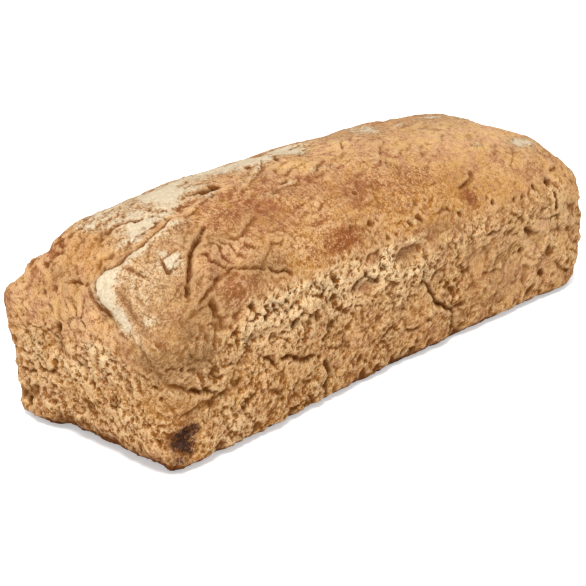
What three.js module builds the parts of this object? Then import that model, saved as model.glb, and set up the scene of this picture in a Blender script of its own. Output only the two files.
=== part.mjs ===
// Buckwheat bread: one whole loaf baked in a long tin, standing free on its flat underside.
// The loaf is a single closed solid.  Millimetres, Z up, X along the loaf, -Y the front wall.
// The wall up to the tin's rim is a rounded box with a little draft; above it rises a dome whose
// cross and long sections are superellipses.  Cracks, folds, hollows and swellings are then
// pressed into, or raised out of, that smooth body along its own normals.
import * as THREE from "three";

// ---- driving sizes ----
const HALF_LENGTH = 145;
const HALF_WIDTH = 50.9;
const RIM_HEIGHT = 51.8; // where the dough rose past the rim of the tin
const DOME_RISE = 41.9; // from the rim to the crown, at mid-length
const END_POWER = 2.77; // fullness of the dome's long section
const SIDE_POWER = 2.12; // fullness of the dome's cross section
const CROWN_LEAN = 0.074; // the crown sits a little behind the middle line
const DOME_FALL = 0.178; // the dome loses this share of its rise toward the far end
const DOME_LIFT = 0.099; // and both ends keep this share more than the middle
const RIM_TILT = 1.2; // the rim stands this much higher at the near end
const CORNER = 10.5; // plan radius of the upright edges
const NEAR_CORNER = 13; // of the near front one, at the rim
const NEAR_FOOT_CORNER = 15; // and at its foot
const DRAFT = 3.7; // the foot stands this much inside the rim
const FAR_DRAFT = 0.4; // the far end is steeper
const FAR_DRAFT_LENGTH = 45; // over this length before the far end wall
const FOOT_ROUND = 5.9; // rounding of the bottom edge
const WAIST = 0.9; // the long walls draw in by this much at mid-length, at the foot

// ---- mesh density ----
const LONG_CELLS = 66;
const CROSS_CELLS = 24;
const WALL_CELLS = 16;
const WALL_EVEN_FROM = 0.62; // share of the wall height below which its columns are evenly spread

// ---- unevenness of the whole body: slow swellings, [wave length, heading, phase, height] ----
const SWELLS = [
  [96, 0.35, 0.4, 0.45],
  [61, 1.25, 2.1, 0.4],
  [43, 2.3, 4.0, 0.3],
  [31, 0.95, 5.2, 0.25],
];

// ---- cracks and creases: a path on the front (x, z), back (x, z), roof (x, y), near or far end (y, z) ----
const GROOVES = [
  // the deep split that runs down from the crown to the near front corner
  { on: "roof", reach: 4.3, depth: 4.6, path: [[-88, -19], [-100, -25], [-110, -31], [-117, -37], [-121, -42]] },
  // the seam over the dark lump on the shoulder
  { on: "front", reach: 3.9, depth: 3.2, path: [[-118, 72], [-110, 75], [-94, 79], [-79, 75], [-62, 69]] },
  // the seam under the floured lobe that hangs over the near end
  { on: "near", reach: 3.9, depth: 2.6, path: [[-3, 75], [-9, 71], [-18, 66], [-28, 62], [-40, 59]] },
  // splits in the front wall that run out at the foot
  { on: "front", reach: 4.1, depth: 3.4, path: [[14, 42], [21, 39], [29, 27], [41, 20], [46, 7]] },
  { on: "front", reach: 3.9, depth: 1.8, path: [[-76, 38], [-66, 35], [-52, 30], [-45, 22]] },
  { on: "front", reach: 4.1, depth: 3.6, path: [[-45, 22], [-43, 14], [-44, 2]] },
  { on: "front", reach: 3.7, depth: 2, path: [[95, 42], [104, 38]] },
  { on: "front", reach: 3.7, depth: 1.6, path: [[119, 21], [127, 14], [136, 7]] },
  { on: "front", reach: 3.5, depth: 1.6, path: [[103, 47], [119, 44], [121, 32]] },
  // the same kind of splits on the walls turned away
  { on: "back", reach: 4.1, depth: 3, path: [[-70, 44], [-62, 31], [-55, 20], [-56, 5]] },
  { on: "back", reach: 3.9, depth: 2.6, path: [[34, 50], [44, 38], [58, 33]] },
  { on: "back", reach: 3.9, depth: 2.8, path: [[96, 3], [93, 15], [101, 27]] },
  { on: "roof", reach: 3.9, depth: 2.4, path: [[20, 33], [44, 38], [70, 35], [88, 38]] },
  { on: "far", reach: 3.9, depth: 2.4, path: [[-30, 58], [-12, 62], [8, 60], [24, 64]] },
  { on: "far", reach: 3.9, depth: 2.2, path: [[14, 38], [10, 24], [15, 3]] },
];

// ---- folds that stand proud, same paths ----
const RIDGES = [
  { on: "roof", reach: 4.1, depth: 1.6, path: [[-140, -6], [-131, -13], [-112, -15], [-97, -12]] },
  { on: "roof", reach: 4.3, depth: 2, path: [[-97, -31], [-104, -35], [-112, -42]] },
  { on: "front", reach: 4.6, depth: 1.1, path: [[-90, 69], [-40, 68], [10, 67], [60, 65], [100, 63]] },
  { on: "back", reach: 4.6, depth: 1.1, path: [[-110, 66], [-50, 68], [10, 67], [70, 64], [110, 62]] },
];

// ---- hollows (rise below zero) and swellings: middle, how far they reach along x, y and z, rise ----
const LUMPS = [
  // the step in the near back corner, and the knob that stands on it
  { on: "roof", at: [-133, 44], reach: [6, 10, 12], rise: -5.4 },
  { on: "roof", at: [-125, 42], reach: [4.5, 9, 12], rise: -4.6 },
  { on: "roof", at: [-136, 35], reach: [4.5, 5, 8], rise: 3 },
  { on: "roof", at: [-127, 32], reach: [4.5, 5, 8], rise: 2 },
  { on: "near", at: [46, 50], reach: [8, 8, 12], rise: 2 },
  // the dark lump on the front shoulder
  { on: "front", at: [-97, 73], reach: [14, 8, 4.6], rise: 2.8 },
  // the floured lobe and the hollow that it shades
  { on: "near", at: [-20, 73], reach: [7, 14, 5], rise: 2.6 },
  { on: "near", at: [-14, 65], reach: [6, 8, 4], rise: -1.8 },
  { on: "near", at: [15, 42], reach: [5, 4.5, 5], rise: -2.2 },
  { on: "near", at: [38, 9], reach: [5, 4.5, 4.5], rise: -2.4 },
  // hollows in the torn band under the front shoulder
  { on: "front", at: [-22, 52], reach: [9, 6, 4], rise: -2 },
  { on: "front", at: [9, 57], reach: [10, 6, 4.5], rise: -2.3 },
  { on: "front", at: [-60, 58], reach: [34, 6, 6.5], rise: -1 },
  { on: "front", at: [116, 61], reach: [4.5, 6, 3.4], rise: -3.2 },
  { on: "front", at: [-132, 17], reach: [6, 8, 6], rise: -1.6 },
  { on: "front", at: [143, 53], reach: [9, 9, 10], rise: -2.8 },
  { on: "front", at: [139, 5], reach: [9, 9, 8], rise: -2.8 },
  // the foot swells beside the near corner, and the dome over the far end
  { on: "front", at: [-112, 7], reach: [17, 9, 11], rise: 2.8 },
  { on: "roof", at: [131, -27], reach: [9, 12, 10], rise: 1.8 },
  { on: "roof", at: [23, 22], reach: [15, 12, 14], rise: 1.6 },
  // nicks in the bottom edge
  { on: "front", at: [-111, 5], reach: [4.5, 5, 5], rise: -2 },
  { on: "front", at: [-18, 4], reach: [5.5, 5, 4], rise: -2.2 },
  { on: "front", at: [12, 4], reach: [9, 5, 4], rise: -2.2 },
  { on: "front", at: [30, 4], reach: [4.5, 5, 4], rise: -2 },
  { on: "front", at: [48, 5], reach: [5, 5, 6], rise: -2.4 },
  { on: "near", at: [-34, 3], reach: [5, 7, 4], rise: -2 },
  { on: "back", at: [-20, 4], reach: [7, 5, 5], rise: -2.4 },
  { on: "back", at: [66, 5], reach: [6, 5, 5], rise: -2.2 },
  { on: "back", at: [-36, 56], reach: [18, 6, 6], rise: -1.8 },
  { on: "back", at: [78, 54], reach: [13, 6, 5], rise: -1.8 },
  { on: "far", at: [-14, 34], reach: [6, 8, 8], rise: -2 },
];

// ---- helpers ----
const superellipse = (t, power) => Math.pow(Math.max(0, 1 - Math.pow(Math.abs(t), power)), 1 / power);
const clamp01 = (t) => Math.min(1, Math.max(0, t));
const ease = (t) => clamp01(t) * clamp01(t) * (3 - 2 * clamp01(t));
const mix = (a, b, t) => a + (b - a) * t;

// Height of the rim and of the dome's smooth skin over the plan position (x, y) of the square box.
const rimHeight = (x) => RIM_HEIGHT - RIM_TILT * (x / HALF_LENGTH);
function skinHeight(x, y) {
  const along = x / HALF_LENGTH;
  const across = y / HALF_WIDTH;
  const leaning = across - CROWN_LEAN * (1 - across * across);
  const rise = DOME_RISE * (1 - DOME_FALL * along + DOME_LIFT * along * along);
  return rimHeight(x) + rise * superellipse(along, END_POWER) * superellipse(leaning, SIDE_POWER);
}

// Plan radius of the upright edge that stands in the quarter of (x, y); share as in wallPoint.
const cornerRadius = (x, y, share) => (x < 0 && y < 0 ? mix(NEAR_FOOT_CORNER, NEAR_CORNER, share) : CORNER);

// Turns the square corners of the plan into arcs, ring by ring.
function roundCorner(x, y, radius) {
  const overX = Math.abs(x) - (HALF_LENGTH - radius);
  const overY = Math.abs(y) - (HALF_WIDTH - radius);
  if (overX <= 0 || overY <= 0) return [x, y];
  const shrink = Math.max(overX, overY) / Math.hypot(overX, overY);
  return [
    Math.sign(x) * (HALF_LENGTH - radius + overX * shrink),
    Math.sign(y) * (HALF_WIDTH - radius + overY * shrink),
  ];
}

// A point of the wall: (x, y) on the edge of the square box, share 1 at the rim and 0 at the foot.
function wallPoint(x, y, share) {
  const radius = cornerRadius(x, y, share);
  const z = share * rimHeight(x);
  const [px, py] = roundCorner(x, y, radius);
  const overX = Math.max(0, Math.abs(px) - (HALF_LENGTH - radius));
  const overY = Math.max(0, Math.abs(py) - (HALF_WIDTH - radius));
  const length = Math.hypot(overX, overY);
  const outX = overX / length;
  const outY = overY / length;
  const draft = mix(DRAFT, FAR_DRAFT, ease((px - HALF_LENGTH + FAR_DRAFT_LENGTH) / FAR_DRAFT_LENGTH));
  const up = clamp01(1 - z / FOOT_ROUND);
  const footRound = FOOT_ROUND * (1 - Math.sqrt(1 - up * up));
  const waist = WAIST * (1 - share) * (1 - (px / HALF_LENGTH) ** 2) * outY;
  const inward = draft * (1 - share) + footRound + waist;
  return new THREE.Vector3(
    px - Math.sign(px) * outX * inward,
    py - Math.sign(py) * outY * inward,
    z,
  );
}

// The point of the smooth body that a feature's two numbers name.
function onBody(side, a, b) {
  if (side === "roof") return new THREE.Vector3(a, b, skinHeight(a, b));
  const end = side === "near" || side === "far";
  const sign = side === "near" || side === "front" ? -1 : 1;
  const edge = (t) => (end ? [sign * HALF_LENGTH * t, a] : [a, sign * HALF_WIDTH * t]);
  const rim = rimHeight(edge(1)[0]);
  if (b <= rim) return wallPoint(...edge(1), b / rim);
  let low = 0;
  let high = 1;
  for (let i = 0; i < 30; i++) {
    const middle = (low + high) / 2;
    if (skinHeight(...edge(middle)) > b) low = middle;
    else high = middle;
  }
  return new THREE.Vector3(...edge(low), b);
}

function distanceToPath(point, path) {
  let nearest = Infinity;
  const foot = new THREE.Vector3();
  for (let i = 0; i + 1 < path.length; i++) {
    new THREE.Line3(path[i], path[i + 1]).closestPointToPoint(point, true, foot);
    nearest = Math.min(nearest, foot.distanceTo(point));
  }
  return nearest;
}

// How far the real surface stands out of the smooth body at a point.
function buildRelief() {
  const placed = (list) => list.map((f) => ({ ...f, line: f.path.map(([a, b]) => onBody(f.on, a, b)) }));
  const grooves = placed(GROOVES);
  const ridges = placed(RIDGES);
  const lumps = LUMPS.map((f) => ({ ...f, middle: onBody(f.on, ...f.at) }));
  return (p) => {
    let out = 0;
    for (const [wave, heading, phase, height] of SWELLS) {
      const across = p.y + 0.7 * p.z;
      const turn = (2 * Math.PI * (p.x * Math.cos(heading) + across * Math.sin(heading))) / wave;
      out += height * Math.sin(turn + phase);
    }
    for (const g of grooves) out -= g.depth * Math.exp(-((distanceToPath(p, g.line) / g.reach) ** 2));
    for (const r of ridges) out += r.depth * Math.exp(-((distanceToPath(p, r.line) / r.reach) ** 2));
    for (const l of lumps) {
      const [rx, ry, rz] = l.reach;
      const away = ((p.x - l.middle.x) / rx) ** 2 + ((p.y - l.middle.y) / ry) ** 2 + ((p.z - l.middle.z) / rz) ** 2;
      out += l.rise * Math.exp(-away);
    }
    return out;
  };
}

// Shares from -1 to 1 that cut a section of the dome into pieces of equal length.
function evenShares(half, power, count) {
  const steps = 4000;
  const lengths = [0];
  for (let i = 1; i <= steps; i++) {
    const t0 = -1 + (2 * (i - 1)) / steps;
    const t1 = -1 + (2 * i) / steps;
    const climb = DOME_RISE * (superellipse(t1, power) - superellipse(t0, power));
    lengths.push(lengths[i - 1] + Math.hypot(half * (t1 - t0), climb));
  }
  const shares = [];
  let at = 0;
  for (let k = 0; k <= count; k++) {
    const target = (lengths[steps] * k) / count;
    while (at < steps - 1 && lengths[at + 1] < target) at++;
    const part = (target - lengths[at]) / (lengths[at + 1] - lengths[at]);
    shares.push(-1 + (2 * (at + part)) / steps);
  }
  shares[0] = -1;
  shares[count] = 1;
  return shares;
}

// The vertices: a grid over the dome, rings down the wall, and one in the middle of the underside.
function loafGeometry() {
  const along = evenShares(HALF_LENGTH, END_POWER, LONG_CELLS);
  const across = evenShares(HALF_WIDTH, SIDE_POWER, CROSS_CELLS);
  const points = [];
  const faces = [];
  const gridIndex = (i, j) => i * (CROSS_CELLS + 1) + j;
  for (let i = 0; i <= LONG_CELLS; i++) {
    for (let j = 0; j <= CROSS_CELLS; j++) {
      const x = along[i] * HALF_LENGTH;
      const y = across[j] * HALF_WIDTH;
      points.push(new THREE.Vector3(...roundCorner(x, y, cornerRadius(x, y, 1)), skinHeight(x, y)));
    }
  }
  for (let i = 0; i < LONG_CELLS; i++) {
    for (let j = 0; j < CROSS_CELLS; j++) {
      const a = gridIndex(i, j);
      const b = gridIndex(i + 1, j);
      const c = gridIndex(i + 1, j + 1);
      const d = gridIndex(i, j + 1);
      faces.push(a, b, c, a, c, d);
    }
  }
  // The rim, anticlockwise from the near front corner: grid index, dome spacing, even spacing.
  const rim = [];
  const even = (k, count) => -1 + (2 * k) / count;
  for (let i = 0; i < LONG_CELLS; i++) rim.push([gridIndex(i, 0), along[i], -1, even(i, LONG_CELLS), -1]);
  for (let j = 0; j < CROSS_CELLS; j++)
    rim.push([gridIndex(LONG_CELLS, j), 1, across[j], 1, even(j, CROSS_CELLS)]);
  for (let i = LONG_CELLS; i > 0; i--) rim.push([gridIndex(i, CROSS_CELLS), along[i], 1, even(i, LONG_CELLS), 1]);
  for (let j = CROSS_CELLS; j > 0; j--) rim.push([gridIndex(0, j), -1, across[j], -1, even(j, CROSS_CELLS)]);
  let upper = rim.map((r) => r[0]);
  for (let k = 1; k <= WALL_CELLS; k++) {
    const share = Math.pow(1 - k / WALL_CELLS, 1.15);
    const spread = ease((1 - share) / (1 - WALL_EVEN_FROM));
    const lower = [];
    for (const [, u, v, evenU, evenV] of rim) {
      lower.push(points.length);
      points.push(wallPoint(mix(u, evenU, spread) * HALF_LENGTH, mix(v, evenV, spread) * HALF_WIDTH, share));
    }
    for (let n = 0; n < rim.length; n++) {
      const m = (n + 1) % rim.length;
      faces.push(lower[n], lower[m], upper[m], lower[n], upper[m], upper[n]);
    }
    upper = lower;
  }
  const middle = points.length;
  points.push(new THREE.Vector3(0, 0, 0));
  for (let n = 0; n < rim.length; n++) faces.push(middle, upper[(n + 1) % rim.length], upper[n]);

  const geometry = new THREE.BufferGeometry().setFromPoints(points);
  geometry.setIndex(faces);
  geometry.computeVertexNormals();
  const normals = geometry.getAttribute("normal");
  const relief = buildRelief();
  const normal = new THREE.Vector3();
  const moved = points.map((p, n) => {
    if (n === middle) return p.clone();
    normal.fromBufferAttribute(normals, n);
    // close to the ground the skin moves sideways only, so the underside stays one flat face
    normal.z *= ease(p.z / 12);
    return p.clone().addScaledVector(normal, relief(p));
  });
  geometry.setFromPoints(moved);
  geometry.computeBoundingBox();
  const box = geometry.boundingBox;
  geometry.translate(-(box.min.x + box.max.x) / 2, -(box.min.y + box.max.y) / 2, -box.min.z);
  geometry.computeVertexNormals();
  return geometry;
}

const crust = new THREE.MeshStandardMaterial({ color: 0xb9854f, roughness: 0.85, metalness: 0 });
const loaf = new THREE.Mesh(loafGeometry(), crust);
loaf.name = "loaf";

const bread = new THREE.Group();
bread.name = "buckwheat_bread";
bread.add(loaf);

export default bread;
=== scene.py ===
"""Buckwheat bread: the dressed loaf, its materials, a pale floor, soft studio light and the camera."""

import math

import bpy
import numpy as np
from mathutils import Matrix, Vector


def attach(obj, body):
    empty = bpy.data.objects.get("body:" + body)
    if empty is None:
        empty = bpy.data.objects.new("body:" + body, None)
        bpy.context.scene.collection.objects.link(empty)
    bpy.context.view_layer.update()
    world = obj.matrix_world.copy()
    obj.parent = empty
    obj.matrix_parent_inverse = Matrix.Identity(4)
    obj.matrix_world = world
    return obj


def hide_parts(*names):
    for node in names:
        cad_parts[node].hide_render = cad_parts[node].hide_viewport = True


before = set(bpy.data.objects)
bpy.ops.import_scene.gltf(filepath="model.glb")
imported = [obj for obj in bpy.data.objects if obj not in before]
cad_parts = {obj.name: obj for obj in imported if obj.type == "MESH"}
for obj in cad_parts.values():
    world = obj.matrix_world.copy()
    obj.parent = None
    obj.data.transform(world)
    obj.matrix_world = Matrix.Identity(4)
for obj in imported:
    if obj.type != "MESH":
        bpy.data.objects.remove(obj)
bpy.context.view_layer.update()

MM = 0.001

# ------------------------ the smooth body, in millimetres
HALF_LENGTH = 145.0
HALF_WIDTH = 50.9
RIM_HEIGHT = 51.8
DOME_RISE = 41.9
END_POWER = 2.77
SIDE_POWER = 2.12
CROWN_LEAN = 0.074
DOME_FALL = 0.178
DOME_LIFT = 0.099
RIM_TILT = 1.2
CORNER = 10.5
NEAR_CORNER = 13.0
NEAR_FOOT_CORNER = 15.0
DRAFT = 3.7
FAR_DRAFT = 0.4
FAR_DRAFT_LENGTH = 45.0
FOOT_ROUND = 5.9
WAIST = 0.9
MIDDLE = np.array([-0.415, 0.117, 0.0])  # middle of the finished body in plan, which is the frame's origin

# cell sizes of the skin: finer where the loaf faces the viewer
NEAR_CELL, FAR_CELL = 0.84, 1.16
FRONT_CELL, BACK_CELL = 0.8, 1.7
WALL_ROWS = 61
ROW_GROWTH = 1.15  # the rows of the walls grow towards the foot by this power
EVEN_BELOW = 0.38  # below this share of the wall its columns are evenly spaced


def superellipse(t, power):
    return np.clip(1 - np.abs(t) ** power, 0, None) ** (1 / power)


def ease(t):
    t = np.clip(t, 0, 1)
    return t * t * (3 - 2 * t)


def mix(a, b, t):
    return a + (b - a) * t


def bell(t):
    """1 at zero, falling away to either side."""
    return np.exp(-(t**2))


def rim_height(x):
    return RIM_HEIGHT - RIM_TILT * (x / HALF_LENGTH)


def skin_height(x, y):
    along = x / HALF_LENGTH
    across = y / HALF_WIDTH
    leaning = across - CROWN_LEAN * (1 - across * across)
    rise = DOME_RISE * (1 - DOME_FALL * along + DOME_LIFT * along * along)
    return rim_height(x) + rise * superellipse(along, END_POWER) * superellipse(leaning, SIDE_POWER)


def corner_radius(x, y, share):
    return np.where((x < 0) & (y < 0), mix(NEAR_FOOT_CORNER, NEAR_CORNER, share), CORNER)


def round_corner(x, y, radius):
    over_x = np.abs(x) - (HALF_LENGTH - radius)
    over_y = np.abs(y) - (HALF_WIDTH - radius)
    in_corner = (over_x > 0) & (over_y > 0)
    shrink = np.where(in_corner, np.maximum(over_x, over_y) / (np.hypot(over_x, over_y) + 1e-9), 1)
    px = np.where(in_corner, np.sign(x) * (HALF_LENGTH - radius + over_x * shrink), x)
    py = np.where(in_corner, np.sign(y) * (HALF_WIDTH - radius + over_y * shrink), y)
    return px, py


def wall_point(x, y, share):
    """Wall points: (x, y) on the edge of the square box, share 1 at the rim and 0 at the foot."""
    radius = corner_radius(x, y, share)
    z = share * rim_height(x)
    px, py = round_corner(x, y, radius)
    over_x = np.clip(np.abs(px) - (HALF_LENGTH - radius), 0, None)
    over_y = np.clip(np.abs(py) - (HALF_WIDTH - radius), 0, None)
    length = np.hypot(over_x, over_y) + 1e-9
    out_x, out_y = over_x / length, over_y / length
    draft = mix(DRAFT, FAR_DRAFT, ease((px - HALF_LENGTH + FAR_DRAFT_LENGTH) / FAR_DRAFT_LENGTH))
    up = np.clip(1 - z / FOOT_ROUND, 0, 1)
    foot_round = FOOT_ROUND * (1 - np.sqrt(1 - up * up))
    waist = WAIST * (1 - share) * (1 - (px / HALF_LENGTH) ** 2) * out_y
    inward = draft * (1 - share) + foot_round + waist
    x = px - np.sign(px) * out_x * inward
    y = py - np.sign(py) * out_y * inward
    return np.stack(np.broadcast_arrays(x, y, z), -1)


def on_body(side, a, b):
    """A point of the smooth body: a, b are x, z on front or back, y, z on near or far, x, y on the roof."""
    if side == "roof":
        return np.array([a, b, float(skin_height(a, b))])
    is_end = side in ("near", "far")
    sign = -1.0 if side in ("near", "front") else 1.0

    def edge(t):
        return (sign * HALF_LENGTH * t, a) if is_end else (a, sign * HALF_WIDTH * t)

    rim = float(rim_height(edge(1.0)[0]))
    if b <= rim:
        x, y = edge(1.0)
        return wall_point(np.float64(x), np.float64(y), b / rim)
    low, high = 0.0, 1.0
    for _ in range(30):
        middle = (low + high) / 2
        if skin_height(*edge(middle)) > b:
            low = middle
        else:
            high = middle
    return np.array([*edge(low), b])


# ------------------------ repeatable noise
def lattice(cell, seed):
    """A repeatable 32-bit number for each whole-number lattice point, shape (..., 3)."""
    c = (cell.astype(np.int64) & 0xFFFFFFFF).astype(np.uint32)
    h = c[..., 0] * np.uint32(73856093) ^ c[..., 1] * np.uint32(19349663) ^ c[..., 2] * np.uint32(83492791)
    h = h ^ np.uint32((seed * 2654435761) & 0xFFFFFFFF)
    h ^= h >> np.uint32(16)
    h *= np.uint32(0x7FEB352D)
    h ^= h >> np.uint32(15)
    h *= np.uint32(0x846CA68B)
    h ^= h >> np.uint32(16)
    return h


def unit_triple(h):
    """Three numbers from -1 to 1 out of each 32-bit number."""
    parts = [(h >> np.uint32(k)) & np.uint32(1023) for k in (0, 10, 20)]
    return np.stack(parts, -1).astype(np.float64) / 511.5 - 1


def noise(p, size, seed):
    """Smooth gradient noise of that grain in millimetres, about -1 to 1."""
    q = p / size
    base = np.floor(q)
    f = q - base
    s = f * f * f * (f * (f * 6 - 15) + 10)
    total = np.zeros(len(p))
    for corner in range(8):
        step = np.array([corner & 1, corner >> 1 & 1, corner >> 2 & 1])
        slope = unit_triple(lattice(base + step, seed))
        weight = np.prod(np.where(step == 1, s, 1 - s), axis=1)
        total += weight * np.einsum("ij,ij->i", slope, f - step)
    return total * 1.6


def rough(p, size, seed, layers=3):
    """Noise with finer and finer layers."""
    total = np.zeros(len(p))
    strength = 1.0
    for k in range(layers):
        total += strength * noise(p, size, seed + 31 * k)
        size, strength = size * 0.5, strength * 0.5
    return total


def bend(p, size, amount, seed):
    """The points pushed about, so that what is laid over them meanders."""
    return p + amount * np.stack([noise(p, size, seed + k) for k in range(3)], -1)


def cells(p, size, seed):
    """Distances to the two nearest scattered seeds, in cells, and a random number of the nearest."""
    q = p / size
    base = np.floor(q)
    first = np.full(len(p), 9.0)
    second = np.full(len(p), 9.0)
    name = np.zeros(len(p))
    for n in range(27):
        step = np.array([n % 3, n // 3 % 3, n // 9]) - 1
        h = lattice(base + step, seed)
        away = np.linalg.norm(base + step + 0.5 + 0.5 * unit_triple(h) - q, axis=1)
        closer = away < first
        second = np.where(closer, first, np.minimum(second, away))
        name = np.where(closer, (h >> np.uint32(3) & np.uint32(4095)) / 4095.0, name)
        first = np.where(closer, away, first)
    return first, second, name


# ------------------------ forms shared with the solid
# Tables are grouped by the side that a form is on, and on_body says what its two numbers are there.
# slow swellings of the whole body: wave length, heading, phase, height
SWELLS = ((96, 0.35, 0.4, 0.45), (61, 1.25, 2.1, 0.4), (43, 2.3, 4.0, 0.3), (31, 0.95, 5.2, 0.25))
SWELL_CLIMB = 0.7  # how much of a step up a wall counts as a step across

# hollows and swellings: place, reach along x, y and z, rise
LUMPS = {
    "roof": (
        (-133, 44, 6, 10, 12, -5.4), (-125, 42, 4.5, 9, 12, -4.6), (-136, 35, 4.5, 5, 8, 3),
        (-127, 32, 4.5, 5, 8, 2), (131, -27, 9, 12, 10, 1.8), (23, 22, 15, 12, 14, 1.6),
    ),
    "near": (
        (46, 50, 8, 8, 12, 2), (-20, 73, 7, 14, 5, 2.6), (-14, 65, 6, 8, 4, -1.8),
        (15, 42, 5, 4.5, 5, -2.2), (38, 9, 5, 4.5, 4.5, -2.4), (-34, 3, 5, 7, 4, -2),
    ),
    "front": (
        (-97, 73, 14, 8, 4.6, 2.8), (-22, 52, 9, 6, 4, -2), (7, 58, 9, 6, 4, -2.8),
        (-60, 58, 34, 6, 6.5, -1), (115.5, 61.5, 4, 6, 3, -2.0), (-132, 17, 6, 8, 6, -1.6),
        (143, 53, 9, 9, 10, -2.8), (139, 5, 9, 9, 8, -2.8), (-112, 7, 17, 9, 11, 2.8),
        (-111, 5, 4.5, 5, 5, -2), (-18, 4, 5.5, 5, 4, -2.2), (12, 4, 9, 5, 4, -2.2), (30, 4, 4.5, 5, 4, -2),
        (48, 5, 5, 5, 6, -2.4),
    ),
    "back": (
        (-20, 4, 7, 5, 5, -2.4), (66, 5, 6, 5, 5, -2.2), (-36, 56, 18, 6, 6, -1.8),
        (78, 54, 13, 6, 5, -1.8),
    ),
    "far": (
        (-14, 34, 6, 8, 8, -2),
    ),
}

# folds that stand proud: reach, height, path
RIDGES = {
    "roof": (
        (3.2, 1.8, ((-140, -6), (-131, -13), (-112, -15), (-97, -12))),
        (3.6, 2.2, ((-97, -31), (-104, -35), (-112, -42))),
    ),
    "front": (
        (4.6, 1.1, ((-90, 69), (-40, 68), (10, 67), (60, 65), (100, 63))),
    ),
    "back": (
        (4.6, 1.1, ((-110, 66), (-50, 68), (10, 67), (70, 64), (110, 62))),
    ),
}

# Splits: half width, depth, step, path.  Walking along the path as seen from outside, a positive step lifts
# the dough on the left over that on the right.
SPLITS = {
    "roof": (
        (1.4, 6.0, 0.6, (
            (-88, -19), (-94, -22), (-100, -25), (-106, -28), (-110, -31), (-117, -37), (-121, -42),
        )),
        (1.2, 2.6, 0.6, ((20, 33), (44, 38), (70, 35), (88, 38))),
    ),
    "front": (
        (1.2, 3.4, -0.8, ((-118, 72), (-110, 75), (-100, 78), (-94, 79), (-86, 77), (-79, 75), (-62, 69))),
        (1.7, 4.0, -1.3, ((14, 42), (20, 40), (24, 34), (29, 27), (36, 22), (41, 19), (44, 13), (46, 7))),
        (2.8, 4.2, -0.5, ((39, 21), (42, 18), (44, 13), (45.5, 6))),
        (2.0, 2.6, -1.2, ((-78, 35.5), (-70, 34.5), (-66, 31.5), (-62, 29), (-53, 28), (-47, 25))),
        (2.4, 4.6, -1.5, ((-47, 25), (-44, 20), (-42.5, 13), (-43.5, 2))),
        (2.6, 4.8, 0.4, ((92, 44.5), (96, 43), (99, 41), (103, 39))),
        (1.8, 1.8, 0.4, ((117, 22), (125, 15), (133, 9))),
        (1.1, 1.8, 0.4, ((103, 47), (110, 45), (119, 44), (121, 32))),
    ),
    "near": (
        (2.2, 1.6, 0.2, ((-3, 76), (-8, 71.5), (-14, 68.5), (-20, 66))),
    ),
    "back": (
        (1.3, 3.2, 1.0, ((-70, 44), (-62, 31), (-55, 20), (-56, 5))),
        (1.2, 2.8, 0.6, ((34, 50), (44, 38), (58, 33))),
        (1.2, 3.0, 0.8, ((96, 3), (93, 15), (101, 27))),
    ),
    "far": (
        (1.2, 2.6, 0.6, ((-30, 58), (-12, 62), (8, 60), (24, 64))),
        (1.2, 2.4, 0.8, ((14, 38), (10, 24), (15, 3))),
    ),
}

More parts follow.
